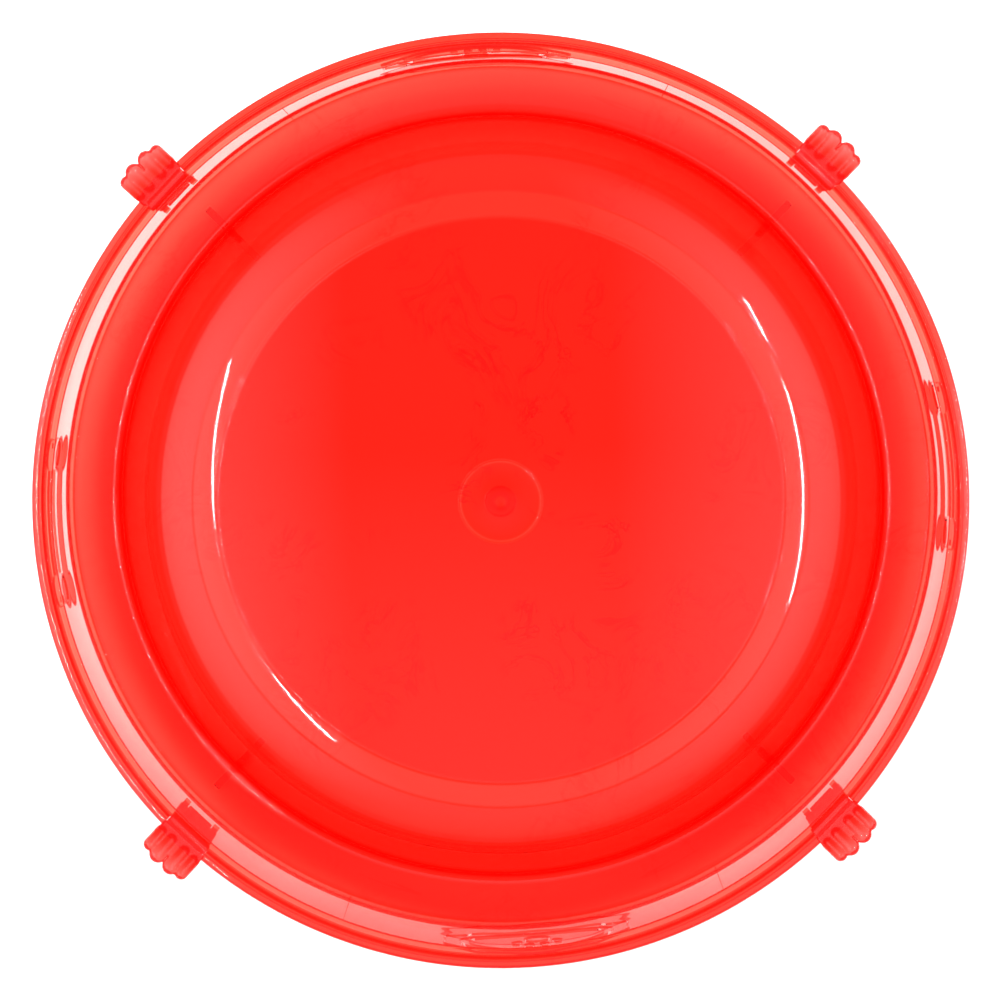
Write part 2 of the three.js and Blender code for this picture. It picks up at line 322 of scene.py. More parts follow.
# The underside with the ring that the pan stands on let into it.
def withFoot(line):
    inner = footRadius - panSize["footWidth"] / 2
    outer = footRadius + panSize["footWidth"] / 2
    edge = panSize["footEdge"]
    ring = roundedLine([
        (inner, heightOn(line, inner), 0), (inner, 0, edge),
        (outer, 0, edge), (outer, heightOn(line, outer), 0),
    ])
    before = [p for p in line if p[0] < inner - 0.2]
    after = [p for p in line if p[0] > outer + 0.2]
    return before + ring + after


# The cage ring's seat, the bead outside it and the skirt that hangs from the bead.
def rimLine():
    size = panSize
    beadInner = rimRadius - size["beadWidth"]
    skirtInner = rimRadius - size["skirtThickness"]
    skirtFoot = rimHeight - size["skirtDepth"]
    underLedge = ledgeHeight - size["wallThickness"]
    underBead = rimHeight - size["wallThickness"]
    return roundedLine([
        (wallTop, ledgeHeight, 0),
        (wallTop + 0.01, ledgeHeight, 0),
        (beadInner, ledgeHeight, 0.35),
        (beadInner + 0.5, rimHeight, 0.6),
        (rimRadius, rimHeight, size["beadEdge"]),
        (rimRadius, skirtFoot, 0.4),
        (skirtInner, skirtFoot, 0.4),
        (skirtInner, underBead, 0.5),
        (beadInner + 1.2, underBead, 0.5),
        (beadInner + 0.2, underLedge, 0.5),
        (wallOuterAt(underLedge), underLedge, 0),
    ], 5)[2:]


def panSection():
    inside = insideLine(fine=True)
    inside = inside[:-1] + roundedCorner(inside[-2], inside[-1], (rimRadius, ledgeHeight), 0.7, 5)
    under = offsetLine(insideLine(fine=False), panSize["wallThickness"])
    under[0] = (0, under[0][1])
    under = withFoot(under[:-1])
    return inside + rimLine() + under[::-1]


# A tree that turns the section's points round the pan's middle, in so many steps.
def turnedTree():
    tree = bpy.data.node_groups.new("turnedSection", "GeometryNodeTree")
    face = tree.interface
    face.new_socket("Section", in_out="INPUT", socket_type="NodeSocketGeometry")
    steps = face.new_socket("Steps", in_out="INPUT", socket_type="NodeSocketInt")
    plastic = face.new_socket("Plastic", in_out="INPUT", socket_type="NodeSocketMaterial")
    face.new_socket("Turned", in_out="OUTPUT", socket_type="NodeSocketGeometry")
    given = addNode(tree, "NodeGroupInput")
    count = addNode(tree, "GeometryNodeAttributeDomainSize", {"component": "MESH"},
                    {"Geometry": given.outputs["Section"]}).outputs["Point Count"]
    columns = addNode(tree, "ShaderNodeMath", {"operation": "ADD"}, {0: given.outputs["Steps"], 1: 1.0})
    grid = addNode(tree, "GeometryNodeMeshGrid", None, {
        "Size X": 1.0, "Size Y": 1.0, "Vertices X": columns.outputs[0], "Vertices Y": count,
    })
    index = addNode(tree, "GeometryNodeInputIndex").outputs[0]
    row = addNode(tree, "ShaderNodeMath", {"operation": "MODULO"}, {0: index, 1: count})
    share = addNode(tree, "ShaderNodeMath", {"operation": "DIVIDE"}, {0: index, 1: count})
    column = addNode(tree, "ShaderNodeMath", {"operation": "FLOOR"}, {0: share.outputs[0]})
    place = addNode(tree, "GeometryNodeInputPosition").outputs[0]
    point = addNode(tree, "GeometryNodeSampleIndex", {"data_type": "FLOAT_VECTOR", "domain": "POINT"}, {
        "Geometry": given.outputs["Section"], "Value": place, "Index": row.outputs[0],
    })
    turn = addNode(tree, "ShaderNodeMath", {"operation": "DIVIDE"},
                   {0: column.outputs[0], 1: given.outputs["Steps"]})
    angle = addNode(tree, "ShaderNodeMath", {"operation": "MULTIPLY"}, {0: turn.outputs[0], 1: 2 * math.pi})
    swung = addNode(tree, "ShaderNodeVectorRotate", {"rotation_type": "Z_AXIS"}, {
        "Vector": point.outputs[0], "Angle": angle.outputs[0],
    })
    moved = addNode(tree, "GeometryNodeSetPosition", None, {
        "Geometry": grid.outputs["Mesh"], "Position": swung.outputs[0],
    })
    welded = addNode(tree, "GeometryNodeMergeByDistance", None, {
        "Geometry": moved.outputs[0], "Distance": 0.000005,
    })
    real = addNode(tree, "GeometryNodeRealizeInstances", None, {"Geometry": welded.outputs[0]})
    painted = addNode(tree, "GeometryNodeSetMaterial", None, {
        "Geometry": real.outputs[0], "Material": given.outputs["Plastic"],
    })
    addNode(tree, "NodeGroupOutput", None, {"Turned": painted.outputs[0]})
    return tree, steps.identifier, plastic.identifier


# A tree that repeats a shape at even steps round the pan.
def aroundTree():
    tree = bpy.data.node_groups.new("aroundThePan", "GeometryNodeTree")
    face = tree.interface
    face.new_socket("Shape", in_out="INPUT", socket_type="NodeSocketGeometry")
    count = face.new_socket("Count", in_out="INPUT", socket_type="NodeSocketInt")
    start = face.new_socket("First angle", in_out="INPUT", socket_type="NodeSocketFloat")
    plastic = face.new_socket("Plastic", in_out="INPUT", socket_type="NodeSocketMaterial")
    face.new_socket("Shapes", in_out="OUTPUT", socket_type="NodeSocketGeometry")
    given = addNode(tree, "NodeGroupInput")
    points = addNode(tree, "GeometryNodePoints", None, {"Count": given.outputs["Count"]})
    index = addNode(tree, "GeometryNodeInputIndex").outputs[0]
    share = addNode(tree, "ShaderNodeMath", {"operation": "DIVIDE"}, {0: index, 1: given.outputs["Count"]})
    turn = addNode(tree, "ShaderNodeMath", {"operation": "MULTIPLY_ADD"}, {
        0: share.outputs[0], 1: 2 * math.pi, 2: given.outputs["First angle"],
    })
    swing = addNode(tree, "ShaderNodeCombineXYZ", None, {"Z": turn.outputs[0]})
    copies = addNode(tree, "GeometryNodeInstanceOnPoints", None, {
        "Points": points.outputs[0], "Instance": given.outputs["Shape"], "Rotation": swing.outputs[0],
    })
    real = addNode(tree, "GeometryNodeRealizeInstances", None, {"Geometry": copies.outputs[0]})
    painted = addNode(tree, "GeometryNodeSetMaterial", None, {
        "Geometry": real.outputs[0], "Material": given.outputs["Plastic"],
    })
    addNode(tree, "NodeGroupOutput", None, {"Shapes": painted.outputs[0]})
    return tree, count.identifier, start.identifier, plastic.identifier


# The raised shapes on the wall: two bones, and two badges with a paw in each.
reliefSize = {
    "height": 0.8,
    "boneLength": 55.0,
    "boneWidth": 20.0,
    "boneShaft": 8.2,
    "boneUp": 33.0,
    "badgeLength": 64.0,
    "badgeWidth": 32.0,
    "badgeUp": 27.0,
    "badgeLobes": 10,
    "lobeDepth": 0.035,          # share of the badge's reach
    "badgeRing": (0.80, 0.74),   # a groove in the badge: its outside as shares of length and width
    "badgeField": (0.70, 0.62),  # and its inside
    "boneAngles": [3.0, 181.0],
    "badgeAngles": [91.5, 273.0],
    "sink": 0.5,                 # how far they go into the wall
    "strip": 2.0,                # cut this often to bend round it
}
boneKnob = reliefSize["boneWidth"] / 4 + 0.3
boneSide = reliefSize["boneLength"] / 2 - boneKnob
boneRise = reliefSize["boneWidth"] / 2 - boneKnob


def arc(x, y, radius, start, end, steps=14):
    turns = [math.radians(start + (end - start) * i / steps) for i in range(steps + 1)]
    return [(x + radius * math.cos(a), y + radius * math.sin(a)) for a in turns]


def boneOutline():
    knob, side, up = boneKnob, boneSide, boneRise
    half = reliefSize["boneShaft"] / 2
    outline = [(-side + knob, -half), (side - knob, -half)]
    outline += arc(side, -up, knob, 180, 430)
    outline += arc(side, up, knob, -70, 180)
    outline += [(side - knob, half), (-side + knob, half)]
    outline += arc(-side, up, knob, 0, 250)
    outline += arc(-side, -up, knob, 110, 360)
    return outline


def scallopedOval(length, width, lobes):
    steps = lobes * 16
    outline = []
    for i in range(steps):
        turn = 2 * math.pi * i / steps
        swell = 1 - reliefSize["lobeDepth"] * (1 + math.cos(lobes * turn))
        outline.append((math.cos(turn) * length / 2 * swell, math.sin(turn) * width / 2 * swell))
    return outline


def oval(x, y, width, height, tilt=0.0, steps=40):
    lean = math.radians(tilt)
    outline = []
    for i in range(steps):
        turn = 2 * math.pi * i / steps
        u, v = width / 2 * math.cos(turn), height / 2 * math.sin(turn)
        aside = u * math.cos(lean) - v * math.sin(lean)
        outline.append((x + aside, y + u * math.sin(lean) + v * math.cos(lean)))
    return outline


# A plain paw: one wide pad and four toes.
def pawOutlines():
    toes = [(-6.6, 1.2, 24), (-2.5, 4.9, 8), (2.5, 4.9, -8), (6.6, 1.2, -24)]
    return [oval(0, -3.6, 9.0, 6.6)] + [oval(x, y, 3.6, 5.0, tilt) for x, y, tilt in toes]


# A flat shape with its holes, bent onto the outside of the wall.
def raisedShape(name, outlines, up, angle):
    height, sink = reliefSize["height"], reliefSize["sink"]
    strip = reliefSize["strip"] * mm
    curve = bpy.data.curves.new(name, "CURVE")
    curve.dimensions = "2D"
    curve.fill_mode = "BOTH"
    curve.extrude = (height + sink) / 2 * mm
    for outline in outlines:
        spline = curve.splines.new("POLY")
        spline.points.add(len(outline) - 1)
        for point, (u, v) in zip(spline.points, outline):
            point.co = (u * mm, v * mm, 0, 1)
        spline.use_cyclic_u = True
    piece = bpy.data.objects.new(name, curve)
    bpy.context.scene.collection.objects.link(piece)
    bpy.context.view_layer.update()
    graph = bpy.context.evaluated_depsgraph_get()
    mesh = bpy.data.meshes.new_from_object(piece.evaluated_get(graph))
    bpy.data.objects.remove(piece)
    bpy.data.curves.remove(curve)
    bm = bmesh.new()
    bm.from_mesh(mesh)
    bpy.data.meshes.remove(mesh)
    bmesh.ops.remove_doubles(bm, verts=bm.verts, dist=0.000002)
    length = max(abs(v.co.x) for v in bm.verts)
    cut = -length + 0.75 * strip
    while cut < length:
        everything = [*bm.verts, *bm.edges, *bm.faces]
        bmesh.ops.bisect_plane(bm, geom=everything, plane_co=(cut, 0, 0), plane_no=(1, 0, 0))
        cut += strip
    bmesh.ops.triangulate(bm, faces=bm.faces)
    middle = math.radians(angle)
    for v in bm.verts:
        level = up + v.co.y / mm
        out = wallOuterAt(level) + v.co.z / mm + (height - sink) / 2
        turn = middle + v.co.x / (wallOuterAt(up) * mm)
        v.co = (out * mm * math.cos(turn), out * mm * math.sin(turn), level * mm)
    if bm.calc_volume(signed=True) < 0:
        bmesh.ops.reverse_faces(bm, faces=bm.faces)
    return fromBmesh(name, bm)


def reliefs():
    size = reliefSize
    length, width = size["badgeLength"], size["badgeWidth"]
    badge = [scallopedOval(length, width, size["badgeLobes"])]
    for along, up in (size["badgeRing"], size["badgeField"]):
        badge.append(oval(0, 0, length * along, width * up, steps=80))
    badge += pawOutlines()
    shapes = [raisedShape("bone", [boneOutline()], size["boneUp"], a) for a in size["boneAngles"]]
    shapes += [raisedShape("badge", badge, size["badgeUp"], a) for a in size["badgeAngles"]]
    return shapes


# Moulded polypropylene, clear enough to see the table through: red dye, a light haze from the
# resin, a glossy skin off the polished mould, and faint flow marks round the gate. Its reds also
# hold painted light and shade, and the wall seen edge-on is painted pale as a painted reflection.
redPlastic = {
    # how deep the red is at each radius in millimetres, partly as the plastic gets thicker and thinner and partly
    # painted light and shade, as marked below
    "tints": [
        # darker at the dimple's and the sprue's edges
        (0, "#ff3010"), (1.9, "#ff3010"), (2.2, "#ff1000"), (4.0, "#ff2408"), (4.6, "#e00800"),
        # the pale step at 13.2, the gate's edge, is a painted highlight
        (5.2, "#ff2e0e"), (12.6, "#ff320e"), (13.2, "#ff6a4c"), (13.7, "#ff2a08"), (14.5, "#ff3014"),
        # the pale ring from 92.6 to 99.6 round the plateau is painted light
        (91, "#ff3014"), (92.6, "#ff543e"), (99.6, "#ff543e"), (100.6, "#ff4430"), (108.5, "#ff4832"), (112, "#ff4634"),
        # the dark ring at the foot ring is painted shade, and the paler moat floor outside it is painted light
        (122, "#ff4c3a"), (123.8, "#ff4c3a"), (124.4, "#f01404"), (126.4, "#f01404"), (127.0, "#ff5240"),
        # darker at the foot of the wall: painted shade in the corner
        (138, "#ff4634"), (wallFoot - 1.2, "#ff4634"), (wallFoot - 0.4, "#ff3020"),
        (wallTop + 0.6, "#ff3826"), (rimRadius, "#ff3c2c"),
    ],
    "wall": "#fff6f3",     # the wall where it is seen edge-on, painted pale: a painted reflection
    "clear": 0.85,         # share of the light that it lets straight through there
    "raised": "#ff5a4c",   # the bones and badges on the wall
    "outline": "#b01008",  # and their edges, a painted shade line
    "rib": "#c80c02",      # the foot ribs, which are seen through their whole height
    "badgeDepth": 0.4,     # how much of the raised colour the badges get
    "outlineWidth": 0.7,   # millimetres to each side of an edge
    "cloud": 0.08,         # share of the light that the dye sends back
    "ior": 1.49,
    "roughness": 0.035,
    "lampTint": "#ff9a90",  # what a lamp's light becomes on its way through a skin
    "dye": "#ff3c28",
    "dyeDensity": 30.0,    # per metre
    "mark": "#a02818",     # the flow marks
    "flowSize": 26.0,      # millimetres between them
    "flowDepth": 0.9,
    "patchScale": 24.0,    # and their patches in a metre
}


# Millimetres from a bone's outline, less than nothing inside it: a shaft and four round knobs.
def boneDistance(tree, size, place):
    flat = addNode(tree, "ShaderNodeVectorMath", {"operation": "MULTIPLY"}, {0: place, 1: (1.0, 1.0, 0.0)})
    folded = addNode(tree, "ShaderNodeVectorMath", {"operation": "ABSOLUTE"}, {0: flat.outputs[0]})
    fromKnob, fromShaft = [
        addNode(tree, "ShaderNodeVectorMath", {"operation": "SUBTRACT"}, {
            0: folded.outputs[0], 1: (boneSide, rise, 0.0),
        }).outputs[0]
        for rise in (boneRise, size["boneShaft"] / 2)
    ]
    reach = addNode(tree, "ShaderNodeVectorMath", {"operation": "LENGTH"}, {0: fromKnob})
    knob = addNode(tree, "ShaderNodeMath", {"operation": "SUBTRACT"}, {
        0: reach.outputs["Value"], 1: boneKnob,
    })
    sides = addNode(tree, "ShaderNodeSeparateXYZ", None, {0: fromShaft}).outputs
    shaft = addNode(tree, "ShaderNodeMath", {"operation": "MAXIMUM"}, {0: sides["X"], 1: sides["Y"]})
    return addNode(tree, "ShaderNodeMath", {"operation": "MINIMUM"}, {
        0: knob.outputs[0], 1: shaft.outputs[0],
    }).outputs[0]


# The same for a badge: an oval whose edge swells and shrinks in lobes.
def badgeDistance(tree, size, place):
    lobeReach, lobeMiddle = 0.04, 0.94
    flat = addNode(tree, "ShaderNodeVectorMath", {"operation": "MULTIPLY"}, {
        0: place, 1: (2 / size["badgeLength"], 2 / size["badgeWidth"], 0.0),
    }).outputs[0]
    reach = addNode(tree, "ShaderNodeVectorMath", {"operation": "LENGTH"}, {0: flat})
    sides = addNode(tree, "ShaderNodeSeparateXYZ", None, {0: flat}).outputs
    turn = addNode(tree, "ShaderNodeMath", {"operation": "ARCTAN2"}, {0: sides["Y"], 1: sides["X"]})
    lobeTurn = addNode(tree, "ShaderNodeMath", {"operation": "MULTIPLY"}, {
        0: turn.outputs[0], 1: float(size["badgeLobes"]),
    })
    lobes = addNode(tree, "ShaderNodeMath", {"operation": "COSINE"}, {0: lobeTurn.outputs[0]})
    swell = addNode(tree, "ShaderNodeMath", {"operation": "MULTIPLY_ADD"}, {
        0: lobes.outputs[0], 1: lobeReach, 2: -lobeMiddle,
    })
    share = addNode(tree, "ShaderNodeMath", {"operation": "ADD"}, {
        0: reach.outputs["Value"], 1: swell.outputs[0],
    })
    return addNode(tree, "ShaderNodeMath", {"operation": "MULTIPLY"}, {
        0: share.outputs[0], 1: size["badgeWidth"] / 2,
    }).outputs[0]


# The bones and badges as the wall shows them: how far each point is inside one, and on its edge, where a painted shade
# line outlines it.
# The attribute holds millimetres along and up from the shape's middle, and 1 for a bone or 2 for
# a badge.
def raisedMarks(tree, look):
    size = reliefSize
    place = addNode(tree, "ShaderNodeAttribute", {"attribute_name": "relief"}).outputs["Vector"]
    kind = addNode(tree, "ShaderNodeSeparateXYZ", None, {0: place}).outputs["Z"]
    fill, edge = 0.0, 0.0
    for number, distance, depth in ((1.0, boneDistance, 1.0), (2.0, badgeDistance, look["badgeDepth"])):
        away = distance(tree, size, place)
        inside = addNode(tree, "ShaderNodeMath", {"operation": "LESS_THAN"}, {0: away, 1: 0.0})
        near = addNode(tree, "ShaderNodeMath", {"operation": "COMPARE"}, {
            0: away, 1: 0.0, 2: look["outlineWidth"],
        })
        here = addNode(tree, "ShaderNodeMath", {"operation": "COMPARE"}, {0: kind, 1: number, 2: 0.3})
        filled = addNode(tree, "ShaderNodeMath", {"operation": "MULTIPLY"}, {0: here.outputs[0], 1: depth})
        fill = addNode(tree, "ShaderNodeMath", {"operation": "MULTIPLY_ADD"}, {
            0: filled.outputs[0], 1: inside.outputs[0], 2: fill,
        }).outputs[0]
        edge = addNode(tree, "ShaderNodeMath", {"operation": "MULTIPLY_ADD"}, {
            0: here.outputs[0], 1: near.outputs[0], 2: edge,
        }).outputs[0]
    return fill, edge


# The red of the dye, deeper or paler with the distance from the pan's middle, with the painted light and shade that the
# tints hold.
def dyeAndPaintedLight(tree, look, radius):
    outermost = look["tints"][-1][0]
    reach = addNode(tree, "ShaderNodeMath", {"operation": "DIVIDE"}, {0: radius, 1: outermost * mm})
    colour = addNode(tree, "ShaderNodeValToRGB", None, {0: reach.outputs[0]})
    ramp = colour.color_ramp.elements
    while len(ramp) < len(look["tints"]):
        ramp.new(1.0)
    for element, (at, tint) in zip(ramp, look["tints"]):
        element.position = at / outermost
        element.color = linearOf(tint)
    return colour.outputs[0]


# Flow marks: thin wandering lines in a few patches round the gate, fainter further out.
def flowMarks(tree, look, place, radius):
    warp = addNode(tree, "ShaderNodeTexNoise", None, {
        "Vector": place, "Scale": 1 / (look["flowSize"] * mm), "Detail": 4.0, "Roughness": 0.6,
        "Distortion": 1.6,
    })
    middle = addNode(tree, "ShaderNodeMath", {"operation": "SUBTRACT"}, {0: warp.outputs["Fac"], 1: 0.5})
    aside = addNode(tree, "ShaderNodeMath", {"operation": "ABSOLUTE"}, {0: middle.outputs[0]})
    wisp = addNode(tree, "ShaderNodeMapRange", None, {
        "Value": aside.outputs[0], "From Min": 0.004, "From Max": 0.03, "To Min": 1.0, "To Max": 0.0,
    })
    patch = addNode(tree, "ShaderNodeTexNoise", None, {
        "Vector": place, "Scale": look["patchScale"], "Detail": 3.0,
    })
    patches = addNode(tree, "ShaderNodeMapRange", None, {
        "Value": patch.outputs["Fac"], "From Min": 0.5, "From Max": 0.58, "To Max": look["flowDepth"],
    })
    near = addNode(tree, "ShaderNodeMapRange", None, {
        "Value": radius, "From Min": 0.030, "From Max": 0.098, "To Min": 1.0, "To Max": 0.25,
    })
    wisps = addNode(tree, "ShaderNodeMath", {"operation": "MULTIPLY"}, {
        0: wisp.outputs[0], 1: patches.outputs[0],
    })
    return addNode(tree, "ShaderNodeMath", {"operation": "MULTIPLY"}, {
        0: wisps.outputs[0], 1: near.outputs[0],
    }).outputs[0]


# The plastic's colour, and the share of it that is wall seen edge-on, which gets a painted pale
# reflection. Face-on the wall is the red of its dye.
def plasticColour(tree, look):
    place = addNode(tree, "ShaderNodeTexCoord").outputs["Object"]
    flat = addNode(tree, "ShaderNodeVectorMath", {"operation": "MULTIPLY"}, {0: place, 1: (1.0, 1.0, 0.0)})
    radius = addNode(tree, "ShaderNodeVectorMath", {"operation": "LENGTH"}, {
        0: flat.outputs[0],
    }).outputs["Value"]
    colour = addNode(tree, "ShaderNodeMix", {"data_type": "RGBA", "blend_type": "MULTIPLY"}, {
        0: flowMarks(tree, look, place, radius), 6: dyeAndPaintedLight(tree, look, radius),
        7: linearOf(look["mark"]),
    }).outputs[2]
    facing = addNode(tree, "ShaderNodeLayerWeight", None, {"Blend": 0.5}).outputs["Facing"]
    edgeOn = addNode(tree, "ShaderNodeMapRange", None, {
        "Value": facing, "From Min": 0.58, "From Max": 0.80,
    }).outputs[0]
    onWall = addNode(tree, "ShaderNodeAttribute", {"attribute_name": "wall"}).outputs["Fac"]
    onRib = addNode(tree, "ShaderNodeAttribute", {"attribute_name": "rib"}).outputs["Fac"]
    inside, outline = raisedMarks(tree, look)
    # the wall's share seen edge-on gets the painted pale reflection, and inside a raised shape the raised red there
    # instead
    wall, fill = [
        addNode(tree, "ShaderNodeMath", {"operation": "MULTIPLY"}, {0: share, 1: edgeOn}).outputs[0]
        for share in (onWall, inside)
    ]
    # the painted shade on the shapes' edges is deeper where the wall is seen edge-on
    depth = addNode(tree, "ShaderNodeMath", {"operation": "MULTIPLY_ADD"}, {0: edgeOn, 1: 0.5, 2: 0.3})
    edge = addNode(tree, "ShaderNodeMath", {"operation": "MULTIPLY"}, {
        0: outline, 1: depth.outputs[0],
    }).outputs[0]
    # over the dye go the painted pale reflection, the raised shapes, the painted shade of their edges and the ribs'
    # deep red
    for share, tint in ((wall, "wall"), (fill, "raised"), (edge, "outline"), (onRib, "rib")):
        colour = addNode(tree, "ShaderNodeMix", {"data_type": "RGBA"}, {
            0: share, 6: colour, 7: linearOf(look[tint]),
        }).outputs[2]
    return colour, wall


def polypropylene(name, look):
    material = bpy.data.materials.new(name)
    material.use_nodes = True
    tree = material.node_tree
    tree.nodes.clear()
    colour, wall = plasticColour(tree, look)
    skin = addNode(tree, "ShaderNodeBsdfPrincipled", None, {
        "Base Color": colour, "Roughness": look["roughness"], "IOR": look["ior"],
        "Transmission Weight": 1.0 - look["cloud"],
    })
    # edge-on, most of the wall lets light straight through, tinted with the painted pale reflection's colour
    straight = addNode(tree, "ShaderNodeBsdfTransparent", None, {"Color": colour})
    clear = addNode(tree, "ShaderNodeMath", {"operation": "MULTIPLY"}, {0: wall, 1: look["clear"]})
    wallSkin = addNode(tree, "ShaderNodeMixShader", None, {
        0: clear.outputs[0], 1: skin.outputs[0], 2: straight.outputs[0],
    })
    lamp = addNode(tree, "ShaderNodeBsdfTransparent", None, {"Color": linearOf(look["lampTint"])})
    path = addNode(tree, "ShaderNodeLightPath")
    lampRay = addNode(tree, "ShaderNodeMath", {"operation": "MAXIMUM"}, {
        0: path.outputs["Is Shadow Ray"], 1: path.outputs["Is Diffuse Ray"],
    })
    mix = addNode(tree, "ShaderNodeMixShader", None, {
        0: lampRay.outputs[0], 1: wallSkin.outputs[0], 2: lamp.outputs[0],
    })
    dye = addNode(tree, "ShaderNodeVolumeAbsorption", None, {
        "Color": linearOf(look["dye"]), "Density": look["dyeDensity"],
    })
    addNode(tree, "ShaderNodeOutputMaterial", None, {"Surface": mix.outputs[0], "Volume": dye.outputs[0]})
    return material


panPlastic = polypropylene("mouldedPolypropylene", redPlastic)

# The same plastic off a duller mould, deep red at the arms and pale at the thin toes.
clipLook = {
    **redPlastic,
    "tints": [
        (0, "#ff3c2c"), (140, "#ff3c2c"), (146, "#ff1c0c"), (150, "#ff1404"), (153, "#ff281c"),
        (156, "#ff4c44"), (159, "#ff6660"), (160, "#ff6660"),
    ],
    "cloud": 0.10,
    "roughness": 0.12,
}
clipPlastic = polypropylene("clipPolypropylene", clipLook)
print("materials made")


# The hinges that the clips snap onto, in millimetres and degrees.
hingeSize = {
    "width": 16.0,
    "armGap": 0.6,
    "notchGap": 0.15,
    "tabLap": 0.7,
    "height": 13.5,
    "barRadius": 1.4,
    "barClearance": 0.3,
    "barrelWall": 1.2,
    "barrelGap": 0.4,
    "barrelWidth": 10.0,
    "lugThickness": 2.2,
    "lugRadius": 2.4,
    "lugGap": 0.3,
    "firstAngle": 45.0,
    "count": 4,
}
barrelOuter = hingeSize["barRadius"] + hingeSize["barClearance"] + hingeSize["barrelWall"]
hingeRadius = wallOuterAt(hingeSize["height"]) + hingeSize["barrelGap"] + barrelOuter
lugMiddle = hingeSize["barrelWidth"] / 2 + hingeSize["lugGap"] + hingeSize["lugThickness"] / 2


def turnedShell():
    mesh = bpy.data.meshes.new("section")
    mesh.from_pydata([(r * mm, 0, z * mm) for r, z in panSection()], [], [])
    piece = newObject("base_pan_moulding", mesh)
    tree, steps, plastic = turnedTree()
    modifier = piece.modifiers.new("turned", "NODES")
    modifier.node_group = tree
    modifier[steps] = panSize["turnSteps"]
    modifier[plastic] = panPlastic
    applied(piece)
    return facingOut(piece)


# The ribs under the pan, one at each clip, in millimetres and degrees.
ribSize = {
    "thickness": 2.3,
    "outer": 136.0,
    "length": 21.0,
    "lift": 0.6,
    "top": 12.0,
    "turn": -1.1,
    "edge": 0.25,
}


def footRib():
    size = ribSize
    inner = size["outer"] - size["length"]
    bottom = panSize["moatHeight"] - panSize["moatFall"]
    half = panSize["wallThickness"] / 2
    slope = panSize["moatFall"] / panSize["moatWidth"]
    climb = (size["top"] - bottom) / (shoulderHeight - bottom)
    rib = plate("footRib", [
        (inner, size["lift"]), (size["outer"] - 1, size["lift"]), (size["outer"], size["lift"] + 1),
        (size["outer"], bottom + slope * (size["outer"] - moatInner) - half), (moatInner, bottom - half),
        (moatInner - climb * panSize["moatLean"] - half, size["top"]), (inner, size["lift"] + 3),
    ], size["thickness"], edge=size["edge"])
    rib.data.transform(Matrix.Rotation(math.radians(size["turn"]), 4, "Z"))
    return rib


def hingeLug(side):
    up, radius = hingeSize["height"], hingeSize["lugRadius"]
    root = wallOuterAt(up) - panSize["wallThickness"] / 2
    steps = 20
    nose = [-90 + 180 * i / steps for i in range(steps + 1)]
    outline = [(root, up - radius)]
    outline += [(hingeRadius + radius * math.cos(math.radians(a)), up + radius * math.sin(math.radians(a)))
                for a in nose]
    outline += [(root, up + radius)]
    return plate("hingeLug", outline, hingeSize["lugThickness"], side * lugMiddle, edge=0.2)


# Everything that the pan has at each clip, repeated round it.
def clipSeats():
    parts = [
        footRib(), hingeLug(-1), hingeLug(1),
        rod("hingeBar", hingeSize["barRadius"], 2 * lugMiddle, hingeRadius, hingeSize["height"]),
    ]
    seats = []
    for part in parts:
        tree, count, start, plastic = aroundTree()
        modifier = part.modifiers.new("around", "NODES")
        modifier.node_group = tree
        modifier[count] = hingeSize["count"]
        modifier[start] = math.radians(hingeSize["firstAngle"])
        modifier[plastic] = panPlastic
        seats.append(facingOut(applied(part)))
    return seats


# The rim is open where each clip's arm comes up through it.
def rimNotches():
    past = 2.0  # the cutter goes at least this far past the rim
    inner = wallOuterAt(ledgeHeight) + hingeSize["armGap"] / 2
    low, high = rimHeight - panSize["skirtDepth"] - past, rimHeight + 2 * past
    outer = rimRadius + 3 * past
    width = hingeSize["width"] + 2 * hingeSize["notchGap"]
    cutter = plate("notch", [(inner, low), (outer, low), (outer, high), (inner, high)], width)
    first, share = hingeSize["firstAngle"], 360 / hingeSize["count"]
    copies = [turnedCopy(cutter, first + share * i, "notch") for i in range(hingeSize["count"])]
    discard(cutter)
    return joined(copies, "notches")


